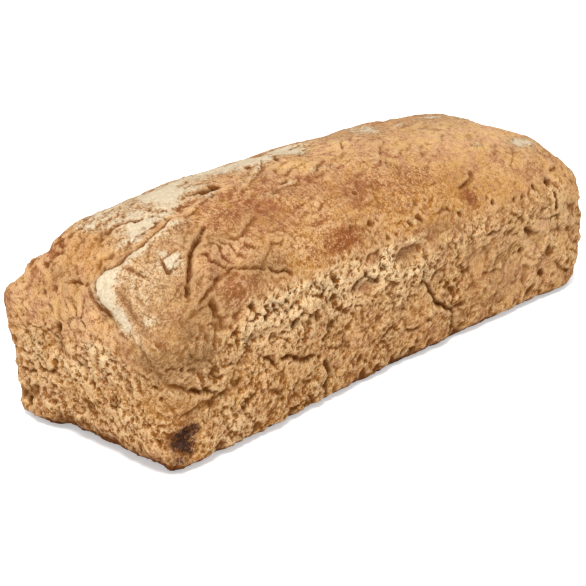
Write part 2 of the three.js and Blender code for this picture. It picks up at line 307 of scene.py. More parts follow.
# ------------------------ finer forms, seen in the dressed loaf only
# cracks and overlapping folds, listed as the splits are
CRACKS = {
    "roof": (
        (0.8, 2.2, 0.7, ((-104, -29), (-101, -31.5), (-103, -34.5), (-100, -37), (-95, -39))),
        (0.8, 1.6, 0.7, ((-98, -27), (-94, -31), (-95, -35), (-92, -39))),
        (0.7, 1.2, 0.7, ((-92, -28), (-88, -32), (-88, -36), (-85, -39))),
        (0.7, 1.0, 0.7, ((-86, -29), (-82, -33), (-80, -37))),
        (0.6, 1.5, 0.5, ((-131, -14), (-129.5, -18), (-128.5, -22), (-127.5, -27))),
        (0.7, 1.8, 0.5, ((-117.5, -21), (-119, -24), (-120, -28), (-116, -29.5), (-111, -29))),
        (1.1, 1.7, -1.5, (
            (-137, -4), (-132, -10), (-124, -12.5), (-117, -12.5), (-108, -11.5), (-100, -9.5), (-92, -9.5),
        )),
        (1.2, 2.6, -1.1, ((-122, 11), (-116, 9), (-111, 7.5), (-108, 2.5), (-104, 1))),
        (0.8, 1.2, -1.2, ((-104, 1), (-101, -2), (-99.5, -6), (-100.5, -10))),
        (1.4, 4.4, 0.8, ((-79, 4.5), (-76, 1.5), (-72, 0.5), (-67, 0.5), (-60, 1.5))),
        (0.9, 2.2, 0.7, ((-73, 15), (-66, 16), (-61, 20))), (0.8, 1.6, 0.6, ((-82, -35), (-74, -38))),
        (0.8, 1.8, 0.7, ((-71, -37), (-63, -38), (-60, -36))),
        (0.7, 1.0, 0.9, ((-124, 22), (-117, 18), (-110, 16), (-102, 17))),
        (0.7, 0.8, -0.8, ((-127, 8), (-123, 1), (-118, -4), (-110, -7))),
        (0.7, 1.1, 0.8, ((-137, 1), (-126, -4), (-114, -7), (-100, -6))),
        (0.7, 1.0, 0.8, ((-131, 30), (-118, 24), (-100, 22))),
        (0.7, 1.2, 0.8, ((-128, 13), (-124, 21), (-114, 27))),
        (0.7, 1.0, 0.9, ((-96, -12), (-86, -9), (-74, -5), (-62, -2))),
        (0.7, 1.0, 0.8, ((-100, 2), (-92, -3), (-82, -4))),
        (0.7, 0.9, 1.2, ((-60, -11), (-50, -7), (-44, -4), (-36, 0), (-28, 6), (-24, 12))),
        (0.7, 1.1, 1.1, ((-30, -10), (-24, -6.5), (-18, -4.5), (-11, -6.5))),
        (0.7, 1.0, 1.1, ((-24, -15), (-18, -13), (-9, -10), (0, -7))),
        (0.7, 0.9, 0.9, ((-48, -17), (-38, -16), (-28, -15.5), (-24, -13))),
        (0.9, 1.1, 0.9, ((-88, -30), (-80, -31), (-70, -27), (-62, -24))),
        (0.8, 1.8, 0.5, ((-38, -14), (-33, -13), (-30, -12))),
        (1.0, 2.6, 0.8, ((-23, 1), (-18, 7), (-14, 12))), (0.9, 1.6, 0.8, ((-40, 5), (-35, 7), (-29, 6))),
        (0.7, 1.5, 0.4, ((4, -8), (8, -5))), (0.8, 1.2, 0.9, ((16, -1), (24, 5), (30, 9))),
        (0.8, 1.2, 0.8, ((34, -19), (40, -17), (46, -14))), (0.8, 0.8, 1.2, ((-10, 14), (2, 16), (14, 12))),
        (0.8, 0.7, 1.1, ((14, -22), (26, -17), (34, -9), (44, -4))),
        (0.8, 0.7, 1.1, ((60, 4), (74, 9), (90, 8))), (0.8, 0.7, 1.0, ((58, -24), (70, -17), (80, -8))),
        (0.8, 0.7, 1.0, ((88, -34), (98, -27), (104, -18))),
        (0.7, 1.2, 0.5, ((59, -40), (63, -40.5), (67, -40))),
        (0.8, 1.6, 0.4, ((68.5, -39), (69, -36), (68, -33))),
        (0.8, 0.8, 1.2, ((-60, 30), (-40, 34), (-18, 31))),
    ),
    "near": (
        (0.9, 1.3, 1.3, ((-4, 84), (-6, 79), (-9, 74), (-14, 70.5), (-20, 68))),
        (0.8, 0.4, 0.35, ((-18, 67), (-24, 62.5), (-31, 60), (-42, 58.5))),
        (1.8, 0.9, 0.4, ((-17, 79), (-21, 75.5), (-28, 71.5), (-34, 67.5), (-40, 62.5))),
        (0.7, 1.0, 0.5, ((-22, 80), (-27, 76), (-33, 73))),
        (0.8, 2.0, 0.6, ((12, 73), (6, 75), (3, 74.5), (-4, 75.5))),
        (0.7, 1.5, 0.5, ((28, 29), (20, 30), (16, 33))),
        (0.7, 0.7, 0.9, ((16, 33), (8, 36), (2, 40), (-3, 41))),
        (0.7, 1.0, 0.3, ((-46, 47), (-38, 46), (-30, 48))),
        (0.7, 0.8, 0.6, ((46, 22), (36, 18), (24, 21), (14, 18))),
        (0.7, 0.8, 0.6, ((4, 14), (-6, 11), (-16, 13), (-27, 10))),
        (0.7, 0.6, 0.6, ((40, 54), (34, 46), (33, 38))),
    ),
    "front": (
        (1.4, 1.4, -1.5, ((-146, 45.5), (-138, 43), (-131, 40.5), (-122, 36))),
        (0.8, 2.1, 0.6, ((-133, 40.5), (-127, 38.5), (-119, 35.5), (-113, 32), (-107, 30))),
        (1.0, 2.8, 0.0, ((-119.5, 62), (-119, 55))), (1.2, 3.0, 0.4, ((-111.5, 73), (-111, 64))),
        (0.9, 1.8, 0.4, ((-97, 35), (-90, 34))),
        (0.9, 2.0, 0.5, ((-87, 39), (-83, 38), (-80, 34), (-77, 30))),
        (0.8, 0.8, -0.8, ((-106, 27), (-103, 17), (-107, 9))),
        (0.8, 0.8, 0.8, ((-98, 22), (-89, 25), (-80, 22), (-72, 14))),
        (0.8, 0.5, 1.0, ((-100, 49), (-92, 53), (-84, 52), (-78, 46))),
        (0.7, 0.8, 1.0, ((-100, 76), (-97, 72.5), (-95, 69))),
        (0.8, 0.6, 0.9, ((-72, 53), (-64, 55), (-58, 51), (-56, 45))),
        (1.1, 1.9, 1.6, ((-31, 51), (-26, 54), (-21, 56.5), (-17, 54), (-12, 50))),
        (0.8, 1.2, 1.4, ((-22, 61), (-18, 65), (-13, 65.5), (-12.5, 61))),
        (0.9, 0.9, 1.9, ((-2, 59), (4, 61.5), (11, 61.5), (16, 59), (19, 54), (19, 50))),
        (0.9, 2.0, -0.6, ((42, 19), (48, 20), (52, 19))), (1.0, 2.4, 0.6, ((44, 40), (47, 37), (50, 35))),
        (0.8, 1.6, 0.6, ((-3, 27), (2, 22), (6, 20))), (0.9, 1.8, 0.6, ((7, 20), (14, 18), (20, 19))),
        (0.8, 1.5, 0.5, ((20, 21), (28, 20))), (0.9, 1.8, 0.3, ((27, 50), (29, 46))),
        (0.8, 1.6, 0.6, ((-29, 45), (-24, 43), (-21, 41))),
        (0.8, 0.6, 0.9, ((-38, 40), (-33, 45), (-27, 40), (-24, 32))),
        (0.8, 0.7, 0.9, ((-14, 42), (-6, 44), (2, 41), (5, 34))),
        (0.8, 0.6, 0.8, ((-30, 14), (-24, 19), (-17, 17), (-14, 11))),
        (0.8, 1.6, 0.5, ((52, 55), (53, 51), (55, 48))), (0.7, 1.3, 0.4, ((-9, 9), (-5, 5))),
        (0.7, 1.3, 0.5, ((34, 70), (40, 69.5))), (0.7, 1.1, 0.6, ((2, 70), (10, 71.5), (18, 70))),
        (0.8, 1.6, 0.7, ((52, 74), (60, 74.5), (65, 75.5), (70, 78))),
        (0.7, 1.4, 0.4, ((62, 73), (67, 70))), (0.9, 1.1, 0.8, ((80, 57), (86, 54), (92, 49), (95, 46))),
        (0.8, 1.0, 0.7, ((62, 48), (68, 50.5), (72, 49.5))),
        (0.8, 0.8, 0.9, ((64, 50), (70, 50.5), (77, 48.5))),
        (0.8, 0.7, 0.9, ((54, 44), (60, 47), (66, 42), (66, 34))),
        (1.0, 2.2, 0.5, ((115, 60), (117, 55), (118, 50), (118, 44))),
        (0.8, 1.5, 0.6, ((119, 64.5), (123, 65), (128, 64))), (0.7, 1.3, 0.3, ((126, 22), (131, 20))),
        (0.8, 1.4, 0.3, ((109, 8), (112, 5))), (0.7, 1.2, 0.5, ((62, 31), (72, 30), (80, 27))),
        (0.8, 0.7, 0.8, ((86, 38), (93, 36), (98, 30), (97, 22))),
        (0.8, 0.7, 0.8, ((56, 24), (64, 20), (66, 12))),
    ),
}

# torn bubbles and holes: radius, depth, places
PITS = {
    "front": (
        (0.9, 1.5, (
            (-12, 73), (-21, 77), (-38, 68), (-12, 68), (1, 68), (34, 74), (29, 75), (23, 75), (68, 67),
            (91, 67), (88, 33), (-134.5, 51), (-124, 61), (-117, 13), (-108, 49), (-106, 43), (-103, 23),
            (-131, 37), (-125, 33), (-29, 24), (-5, 18), (76, 16), (8, 70),
        )),
        (1.3, 2.2, ((40, 68.5), (46, 65.5), (70, 64), (86, 61), (92, 61), (12, 69.5), (-4, 68))),
        (1.2, 1.8, ((-80, 62), (-72, 61), (-68, 57), (-42, 42), (-39, 57), (-48, 57), (-56, 62), (32, 36))),
        (1.7, 2.4, ((-9, 75.5), (19, 70), (102, 62.5), (113, 29), (93, 33), (17, 46))),
        (2.2, 1.8, ((-92, 64), (-84, 58), (-67, 49), (-53, 47), (-42, 53), (-111, 7), (-21, 15.5))),
        (2.3, 3.2, ((115.5, 61.5), (109.5, 16.5))),
        (2.4, 1.6, (
            (-17, 6), (-8, 5.5), (4, 6), (11, 6.5), (18, 6), (29, 6.5), (46, 7), (-140, 4), (-136, 3),
        )),
    ),
    "near": (
        (0.9, 1.6, (
            (22, 75), (27, 70), (-28, 33), (-29, 27), (-48, 38), (-44, 43), (1, 24), (16, 22), (-17, 20),
            (-22, 19), (-29, 21), (35, 52), (-36, 30), (9, 12),
        )),
        (1.3, 2.0, ((17, 69), (26, 76), (23, 66), (-19, 31))),
        (2.1, 3.6, ((12.5, 53), (38, 9))),
    ),
    "roof": (
        (0.9, 1.4, ((-104, -4), (-103, -7), (-98, 5), (-37, -27), (-29, -3), (84, -24))),
        (1.2, 2.4, ((-6, -30), (-120, -29), (-98, 5), (-104, -4.5))),
        (2.8, 4.2, ((-62, 2.5),)),
    ),
}

# soft bulges and dents between the cracks: place, reach along x, y and z, rise
BULGES = {
    "front": (
        (-80, 22, 24, 9, 11, 1.3), (-15, 30, 19, 9, 13, 1.0), (24, 20, 12, 9, 9, 1.4),
        (70, 22, 18, 9, 10, 0.9), (107, 30, 11, 9, 12, 0.9), (-131, 35, 11, 9, 6, 1.2),
        (57, 71, 7, 6, 3.2, 0.9), (-30, 73, 11, 6, 3.6, 0.8), (58, 39, 5, 6, 6, -1.1),
        (84, 30, 5, 6, 6, -0.8), (-66, 48, 5, 6, 4.5, -1.0),
    ),
    "near": (
        (-16, 76, 7, 7, 6, 1.0), (-12, 66, 6, 6, 3.4, -1.2), (34, 8, 6, 8, 5, 1.0),
        (36, 72, 5, 3, 2.6, 1.2), (48, 60, 5, 5, 4, 1.7), (49, 49, 6, 6, 7, -0.8),
    ),
    "roof": (
        (-68, -7, 4, 4, 6, -0.8), (-131.5, 35, 2.8, 3.4, 5, -2.4), (-119, -38, 3.4, 3.4, 5, -1.3),
        (-104, -33, 6, 5, 6, 0.8),
    ),
    "back": (
        (-30, 20, 19, 9, 13, 1.2), (40, 26, 17, 9, 12, 1.1), (104, 30, 16, 9, 12, 1.1),
        (-104, 24, 18, 9, 12, 1.1),
    ),
    "far": (
        (22, 24, 8, 14, 12, 1.1), (-24, 28, 8, 13, 12, 0.9),
    ),
}

# Coloured or plain patches by kind and side: place, reach in the plane of the side, strength.
# Cream is freshly torn crumb, plain is skin where the crumb isn't torn, calm is smoother skin, rust is
# reddish crust, gold is yellow-brown skin, light is a lighter tone, grey is greyish tan and in places painted
# shade, burnt is scorched.
PATCHES = {
    "flour roof": (
        (-86, 9, 10, 11, 1.3), (-72, 18, 13, 8, 0.9), (-109, 9, 12, 10, 0.85), (-118, 22, 3.4, 6, 0.7),
        (-112, -3, 10, 5, 0.8), (-103, 23, 14, 7, 0.65), (-102, -2, 10, 4, 0.8), (-64, 6, 9, 5, 0.5),
        (-79, 9, 7, 4, 0.9), (-71, -2, 8, 3, 0.6), (-138, -11, 4, 6, 0.9), (-132, -23, 11, 10, 0.35),
        (-121, -24, 9, 7, 0.15), (-116.5, -24.5, 4, 3.4, 0.9), (-114.5, -28.5, 4, 3.4, 0.9),
        (-110, -21, 12, 6, 0.2), (-100, -17, 8, 4, 0.2), (-122, -6, 8, 5, 0.35), (-124, -15, 10, 2.4, 0.55),
        (-106, -14, 11, 2.2, 0.65), (-50, 22, 16, 8, 0.85), (-24, 15, 9, 9, 0.85), (-4, 15, 9, 9, 1.0),
        (-44, -2, 10, 3, 0.5), (54, 17, 8, 8, 0.85), (99, 13, 9, 4, 1.0), (116, 9, 6, 5, 0.8),
        (118, -27, 10, 4.6, 1.1), (86, -23, 4, 2, 0.6), (-30, 36, 18, 7, 0.7), (30, 30, 14, 8, 0.6),
        (78, 34, 12, 7, 0.6), (-96, 32, 16, 7, 0.6), (-38, 14, 13, 7, 0.8), (-35, 5, 9, 4, 0.5),
        (-8, -12, 10, 1.6, 0.4), (-44, -16, 12, 1.8, 0.4), (20, 14, 60, 7, 0.35), (90, 0, 30, 14, 0.25),
    ),
    "flour near": (
        (-10, 77.5, 4, 4.8, 1.1), (-15, 73.5, 5, 4.4, 0.95), (-22, 69.5, 5.5, 4.2, 0.75),
        (-28, 65.5, 5.5, 4, 0.65), (-36, 61, 5, 3.2, 0.6), (-38, 69, 4.6, 3.8, 0.75),
        (-30, 78, 14, 8, 0.25),
    ),
    "flour far": ((10, 66, 13, 5, 0.6),),
    "cream front": (
        (-84, 59, 15, 9, 1.0), (-60, 60, 16, 9, 1.0), (-36, 61, 14, 8, 1.0), (-12, 58, 11, 8, 1.0),
        (8, 50, 13, 4, 1.2), (-5, 59, 7, 5, 1.1), (10, 62.5, 10, 2, 1.1), (22, 44, 7, 5, 0.8),
        (-2, 40, 9, 7, 0.5), (-88, 47, 12, 7, 0.5), (-34, 49, 14, 8, 0.5), (46, 56, 16, 6, 0.4),
        (-60, 44, 16, 6, 0.4), (75, 49, 7, 2, 0.9), (118, 57, 6, 2.5, 0.6), (127, 52, 6, 5, 0.4),
        (-104, 12, 11, 8, 0.7), (7, 70.5, 6, 1.6, 1.0), (16, 69.5, 4, 2, 1.0),
    ),
    "cream near": (
        (-10, 50, 16, 5, 1.0), (4, 36, 12, 5, 0.8), (31, 39, 6, 7, 0.9), (-12, 42, 14, 6, 0.7),
        (24, 16, 16, 9, 0.5), (-20, 18, 18, 9, 0.5),
    ),
    "cream back": ((-60, 57, 30, 7, 0.9), (30, 56, 34, 6, 0.8)),
    "cream far": ((0, 46, 20, 6, 0.7),),
    "plain front": (
        (-130, 52, 15, 7, 1.3), (-131, 34, 14, 6, 0.9), (84, 23, 12, 7, 0.8), (58, 39, 6, 7, 0.8),
        (32, 12, 10, 6, 0.7), (-22, 51.5, 7, 2.4, 1.0), (7, 57.5, 8, 3.4, 1.0), (-17, 63, 3, 2, 0.8),
        (14, 30, 9, 8, 0.4), (36, 61, 20, 5, 0.7), (128, 50, 9, 8, 0.6), (-26, 42, 6, 4, 0.6),
        (70, 34, 18, 13, 0.45), (106, 30, 14, 16, 0.4),
    ),
    "plain near": ((-42, 53, 9, 7, 1.0), (-44, 34, 6, 6, 0.5), (6, 62, 40, 5, 0.5), (36, 50, 10, 9, 0.4)),
    "plain back": ((-90, 30, 16, 14, 0.6), (14, 24, 13, 9, 0.6), (116, 36, 13, 12, 0.6)),
    "plain far": ((-26, 26, 12, 12, 0.6),),
    "calm roof": ((-124, -25, 18, 12, 0.7), (-70, -18, 15, 8, 0.7)),
    "calm near": ((-26, 71, 14, 10, 0.4),),
    "rust front": (
        (-97, 72, 13, 5, 0.9), (-30, 73.5, 11, 4, 1.3), (55, 70, 5, 2.4, 1.3), (-84, 58, 4, 3, 0.6),
        (-67, 49, 4, 3.4, 0.9), (84, 21, 10, 7, 0.5), (-132, 28, 10, 6, 0.6), (-86, 26, 6, 4, 0.5),
        (-22, 52, 6, 2.4, 0.7), (-72, 12, 8, 6, 0.4), (-143, 22, 5, 4, 1.0), (-131, 26, 6, 3, 0.7),
    ),
    "rust roof": (
        (-66, -22, 24, 12, 0.6), (-20, -22, 26, 9, 0.35), (6, -30, 18, 8, 0.45), (36, -32, 12, 6, 0.5),
        (-40, -8, 12, 6, 0.4), (-104, -40, 12, 4, 0.4), (-130, 31, 8, 7, 0.6), (-119, -38, 3.6, 2.8, 0.9),
    ),
    "rust near": ((-13, 66, 6, 3.4, 1.0), (-22, 74, 6, 2.6, 0.5), (46, 56, 6, 5, 0.4), (-8, 9, 28, 6, 0.7)),
    "rust back": ((-20, 74, 30, 5, 0.6),),
    "gold front": (
        (28, 68, 28, 4.4, 1.0), (-50, 71, 18, 4, 0.8), (-132, 31, 15, 9, 1.2), (80, 66, 26, 6, 0.7),
        (-112, 72, 5, 3, 0.6), (112, 53, 9, 6, 0.6), (60, 27, 18, 9, 0.3), (-68, 72, 14, 5, 0.6),
        (16, 34, 9, 10, 0.4),
    ),
    "gold near": ((-42, 33, 7, 6, 0.7), (22, 68, 12, 7, 0.6), (8, 86, 18, 8, 0.6)),
    "gold roof": (
        (66, -43, 14, 6, 0.5), (-130, 12, 10, 16, 0.12), (44, -37, 34, 8, 0.9), (-52, -37, 20, 6, 0.7),
        (-4, -3, 14, 6, 0.6), (-18, -8, 12, 4, 0.8), (-2, -38, 24, 6, 0.8), (76, -22, 26, 9, 0.5),
    ),
    "gold back": ((60, 68, 40, 5, 0.6),),
    "light roof": (
        (80, -10, 40, 22, 0.9), (118, -8, 18, 20, 0.6), (30, 12, 24, 14, 0.4), (-22, -5, 15, 7, 0.8),
        (16, 3, 22, 9, 0.7), (110, -24, 12, 8, 0.5),
    ),
    "light near": ((0, 62, 30, 12, 0.5), (32, 30, 6, 15, 0.6), (40, 66, 8, 8, 0.6)),
    "light front": (
        (105, 36, 36, 24, 0.7), (30, 52, 24, 8, 0.4), (116, 46, 14, 8, 0.9), (50, 52, 10, 6, 0.6),
        (67, 60, 10, 5, 0.6), (-1, 37, 9, 9, 0.8), (-50, 58, 9, 6, 0.5), (-105, 10, 9, 7, 0.6),
    ),
    "grey front": (
        (-128, 52, 17, 9, 1.0), (26, 63, 18, 4, 0.6), (7, 57.5, 8, 4, 0.7), (84, 22, 16, 8, 0.3),
        (-131, 64, 9, 5, 0.6), (-118, 60, 8, 6, 0.5), (-104, 66, 8, 4, 0.4), (-45, 11, 9, 6, 0.4),
    ),
    # of the grey patches at the near end, those at (-34, 72) and (-30, 71) are painted shade along the furrow
    # beside the flour lobe
    "grey near": (
        (-42, 54, 9, 8, 0.8), (-34, 72, 10, 8, 0.45), (-30, 71, 8, 2.6, 0.5), (-50, 40, 6, 13, 0.6),
        (12, 74, 8, 6, 0.45), (20, 38, 9, 6, 0.3),
    ),
    "grey roof": (
        (-126, -28, 14, 10, 0.45), (-105, -21, 9, 4, 0.65), (-92, -28, 12, 5, 0.7),
        (-116, -45, 11, 4, 0.75), (-115, -38, 10, 4, 0.5), (-77, -43, 15, 4, 0.85), (-14, -46, 10, 4, 0.35),
    ),
    "grey back": ((0, 60, 30, 6, 0.6),),
    "burnt front": (
        (-135, 18, 4.6, 5.4, 1.0), (-128, 20, 4.4, 3.4, 1.0), (-132, 12.5, 4.6, 3.4, 1.0),
        (-139, 5, 8, 5, 0.55),
    ),
}

# the two axes in the plane of a side, and the one through it
SIDE_AXES = {"front": (0, 2, 1), "back": (0, 2, 1), "near": (1, 2, 0), "far": (1, 2, 0), "roof": (0, 1, 2)}
PATCH_THICKNESS = 1.5  # reach of a patch through its side, in its largest reach

# small features are repeated on the side that faces away, turned about and drawn in by this factor
OTHER_SIDE = {"front": ("back", -0.94), "near": ("far", -0.9)}

CRACK_MARGIN = 18.0  # how far from its line a crack is worked out
CRACK_FADE = 4.0  # length over which a crack shallows at its ends
FOLD_FADE = 9.0  # and over which the fold beside it sinks
FOLD_REACH = 6.0  # how far the lifted dough of a fold slopes away
FOOT_ZONE = 8.5  # a crack that ends below this height runs out through the foot


def listed(table):
    """The items of a table that is grouped by side, each with its side in front."""
    return [(side, *item) for side, items in table.items() for item in items]


def turned_away(items):
    """The small features of the front and near end, set on the sides that face away from them."""
    out = []
    for side, *sizes, places in items:
        if side in OTHER_SIDE:
            other, factor = OTHER_SIDE[side]
            out.append((other, *sizes, tuple((a * factor + 3, b * 0.97 + 0.6) for a, b in places)))
    return out


def near_points(low, high, margin):
    """Which points lie within margin of a box."""
    return np.flatnonzero(np.all((points > low - margin) & (points < high + margin), axis=1))


def path_distance(p, line, normals):
    """Distance to a bent line, negative on its right as seen from outside, and the share of it walked."""
    best = np.full(len(p), np.inf)
    signed = np.zeros(len(p))
    share = np.zeros(len(p))
    runs = np.linalg.norm(np.diff(line, axis=0), axis=1)
    done = 0.0
    for a, b, run in zip(line[:-1], line[1:], runs):
        t = np.clip((p - a) @ (b - a) / run**2, 0, 1)
        gap = p - (a + t[:, None] * (b - a))
        away = np.linalg.norm(gap, axis=1)
        closer = away < best
        best = np.where(closer, away, best)
        share = np.where(closer, (done + t * run) / runs.sum(), share)
        left = np.einsum("ij,ij->i", gap, np.cross(normals, b - a))
        signed = np.where(closer, np.where(left < 0, -away, away), signed)
        done += run
    return signed, share


# ------------------------ the skin as a mesh of square cells
def in_cells(t, run, first, last, count=None):
    """Shares from -1 to 1 picked from t so that the cells between them grow from first to last."""
    total = np.concatenate([[0], np.cumsum(run / mix(first, last, (t[1:] + 1) / 2))])
    count = count or int(round(total[-1]))
    return np.interp(np.linspace(0, total[-1], count + 1), total, t)


def dome_shares(half, power, first, last):
    """Shares along a section of the dome, in cells that grow from first to last millimetres."""
    t = np.linspace(-1, 1, 8001)
    climb = DOME_RISE * superellipse(t, power)
    return in_cells(t, np.hypot(np.diff(t) * half, np.diff(climb)), first, last)


def edge_shares(first, last, count):
    """The same growth along a straight edge, for a known count."""
    t = np.linspace(-1, 1, 2001)
    return in_cells(t, np.diff(t), first, last, count)


def around(u, v):
    """Shares of length and width at each point of the rim, walked once round from the near front corner."""
    ones_u, ones_v = np.ones(len(u) - 1), np.ones(len(v) - 1)
    along = np.concatenate([u[:-1], ones_v, u[:0:-1], -ones_v])
    across = np.concatenate([-ones_u, v[:-1], ones_u, v[:0:-1]])
    return along, across


def build_skin():
    """Vertices and faces of the smooth body, and the vertices of its foot."""
    u = dome_shares(HALF_LENGTH, END_POWER, NEAR_CELL, FAR_CELL)
    v = dome_shares(HALF_WIDTH, SIDE_POWER, FRONT_CELL, BACK_CELL)
    x, y = np.meshgrid(u * HALF_LENGTH, v * HALF_WIDTH, indexing="ij")
    px, py = round_corner(x, y, corner_radius(x, y, 1.0))
    points = [np.stack([px, py, skin_height(x, y)], -1).reshape(-1, 3)]
    index = np.arange(x.size).reshape(x.shape)
    faces = [np.stack([index[:-1, :-1], index[1:, :-1], index[1:, 1:], index[:-1, 1:]], -1).reshape(-1, 4)]
    rim = np.concatenate([index[:-1, 0], index[-1, :-1], index[:0:-1, -1], index[0, :0:-1]])
    dome_u, dome_v = around(u, v)
    even = edge_shares(NEAR_CELL, FAR_CELL, len(u) - 1), edge_shares(FRONT_CELL, BACK_CELL, len(v) - 1)
    even_u, even_v = around(*even)
    upper = rim
    count = x.size
    for k in range(1, WALL_ROWS + 1):
        share = 1 - (k / WALL_ROWS) ** ROW_GROWTH
        spread = ease((1 - share) / EVEN_BELOW)
        ring_x = mix(dome_u, even_u, spread) * HALF_LENGTH
        ring_y = mix(dome_v, even_v, spread) * HALF_WIDTH
        points.append(wall_point(ring_x, ring_y, share))
        lower = np.arange(count, count + len(rim))
        count += len(rim)
        faces.append(np.stack([lower, np.roll(lower, -1), np.roll(upper, -1), upper], -1))
        upper = lower
    return np.concatenate(points), np.concatenate(faces), upper


def vertex_normals(points, faces):
    a, b, c, d = (points[faces[:, k]] for k in range(4))
    face_normal = np.cross(c - a, d - b)
    total = np.zeros_like(points)
    for k in range(4):
        for axis in range(3):
            total[:, axis] += np.bincount(faces[:, k], face_normal[:, axis], len(points))
    return total / (np.linalg.norm(total, axis=1, keepdims=True) + 1e-12)


def smoothed(values, rounds):
    """Values evened out over the mesh; each round spreads them by about half a cell."""
    ends = faces.ravel()
    starts = np.roll(faces, 1, axis=1).ravel()
    share = 1 / (1 + np.bincount(ends) + np.bincount(starts))
    for _ in range(rounds):
        before, after = np.bincount(ends, values[starts]), np.bincount(starts, values[ends])
        values = (values + (before + after)) * share
    return values


def patch_field(p, kind):
    """The patches of a kind, added up: each is strongest at its place and falls away with its reach."""
    total = np.zeros(len(p))
    for side in SIDE_AXES:
        for a, b, *reach, strength in PATCHES.get(f"{kind} {side}", ()):
            middle = on_body(side, a, b)
            spread = zip(SIDE_AXES[side], (*reach, PATCH_THICKNESS * max(reach)))
            total += strength * np.exp(-sum(((p[:, k] - middle[k]) / r) ** 2 for k, r in spread))
    return total


points, faces, foot_ring = build_skin()
normals = vertex_normals(points, faces)
x, y, z = points.T
meander = bend(bend(bend(points, 6.0, 1.0, 11), 2.6, 0.5, 15), 1.5, 0.3, 19)
uneven = 1 + 0.4 * rough(points, 4.0, 17)
wander = bend(bend(points, 11.0, 3.0, 21), 3.5, 1.2, 25)
relief = np.zeros(len(points))  # millimetres along the normal
# painted shade: 1 deep in a crack, and also set in pits, creases, at the feet of folds and along the foot
painted_shade = np.zeros(len(points))  # 1 deep in a crack
rub_and_highlight = np.zeros(len(points))  # painted highlight and paler rubbed crust on the edges of folds
hollow = np.zeros(len(points))  # 1 on the floor of a torn hollow


# ------------------------ the placed forms
def add_lumps():
    for side, a, b, *reach, rise in listed(LUMPS) + listed(BULGES):
        away = ((points - on_body(side, a, b)) / np.array(reach)) ** 2
        relief[:] += rise * np.exp(-away.sum(1))
    for wave, heading, phase, height in SWELLS:
        across = y + SWELL_CLIMB * z
        turn = 2 * np.pi * (x * math.cos(heading) + across * math.sin(heading)) / wave
        relief[:] += height * np.sin(turn + phase)
    for side, reach, height, path in listed(RIDGES):
        signed, _ = path_distance(meander, np.array([on_body(side, *q) for q in path]), normals)
        relief[:] += height * bell(signed / reach)


def darken(amount, where=slice(None)):
    """Paints shade: raises the shade field to at least that amount."""
    painted_shade[where] = np.maximum(painted_shade[where], amount)


def add_crack(side, half_width, depth, step, path, valley=0.0):
    """A narrow split with rolled edges; with a step, the dough on one side of it is folded over the other."""
    line = np.array([on_body(side, *q) for q in path])
    near = near_points(line.min(0), line.max(0), CRACK_MARGIN)
    signed, share = path_distance(meander[near], line, normals[near])
    away = np.abs(signed)
    run = np.linalg.norm(np.diff(line, axis=0), axis=1).sum()
    to_end = np.minimum(share, 1 - share) * run
    fade = ease(to_end / CRACK_FADE)
    if side != "roof" and path[-1][1] < FOOT_ZONE:
        fade = np.where(share > 0.5, 1.0, fade)
    half_width = half_width * uneven[near]
    gap = bell(away / half_width)
    rolled = bell((away - 2.5 * half_width) / (1.5 * half_width))
    relief[near] += fade * depth * (0.08 * rolled - 0.8 * gap - valley * bell(away / 4.0))

    inside = signed * (1 if step > 0 else -1)
    height = abs(step) * ease(to_end / min(FOLD_FADE, 0.45 * run))
    relief[near] += 0.75 * height * ease(inside / 1.6 + 0.5) * np.exp(-np.maximum(inside, 0) / FOLD_REACH)
    # painted highlight along the edge of the lifted dough, partly paler rubbed crust
    rub_and_highlight[near] = np.maximum(rub_and_highlight[near], height * bell((inside - 0.8) / 0.8))

    # painted shade deep in the split and, fainter, just beside it
    darkness = max(min((depth - 0.3) / 1.5, 1.0), min((depth - 2.0) / 1.5, 1.5))
    darken(fade * gap * darkness * np.clip(0.9 + 0.5 * rough(points[near], 3.0, 23), 0.3, 1), near)
    darken(0.22 * fade * np.clip(depth / 2.5, 0, 1) * bell(away / (2.6 * half_width)), near)


def add_pit(side, radius, depth, place):
    """A small ragged hole with a raised rim."""
    middle = on_body(side, *place)
    near = near_points(middle, middle, 8.0)
    away = np.linalg.norm(bend(points[near], 2.6, 0.8, 29) - middle, axis=1) / radius
    relief[near] += 0.2 * bell((away - 1.6) / 0.45) - 0.7 * depth * np.exp(-(away**3))
    # painted shade in the hole
    darken(np.exp(-(away**2.5)) * (min(0.85, depth / 2.6) + 0.5 * max(0.0, depth - 3.0)), near)


add_lumps()
form = relief.copy()
for side, half_width, depth, step, path in listed(SPLITS):
    add_crack(side, 0.5 * half_width, 0.75 * depth, step, path, valley=0.14)
for crack in listed(CRACKS) + turned_away(listed(CRACKS)):
    add_crack(*crack)
for side, radius, depth, places in listed(PITS) + turned_away(listed(PITS)):
    for place in places:
        add_pit(side, radius, depth, place)

# ---- where the crumb is torn, below the smooth dome
CRUMB_TOP, END_CRUMB_TOP, CREAM_TOP = 65, 60, 74  # its height on long walls, on ends, and in cream patches
facing_end = ease((np.abs(normals[:, 0]) - 0.55) / 0.3)
edge = rough(points, 14.0, 41)
on_wall = ease((CRUMB_TOP - z + 4 * edge) / 7.0)
on_end = ease((END_CRUMB_TOP - z + 6 * edge) / 14.0)
below_dome = mix(on_wall, on_end, facing_end)
plain = np.clip(patch_field(wander, "plain"), 0, 1)
cream = patch_field(wander, "cream") * (0.85 + 0.5 * rough(points, 6.0, 45))
torn = below_dome * (1 - 0.85 * plain) * np.clip(0.8 + 0.35 * rough(points, 18.0, 43), 0.35, 1)
torn = np.clip(np.maximum(torn, cream * (1 - plain) * ease((CREAM_TOP - z) / 6)), 0, 1)


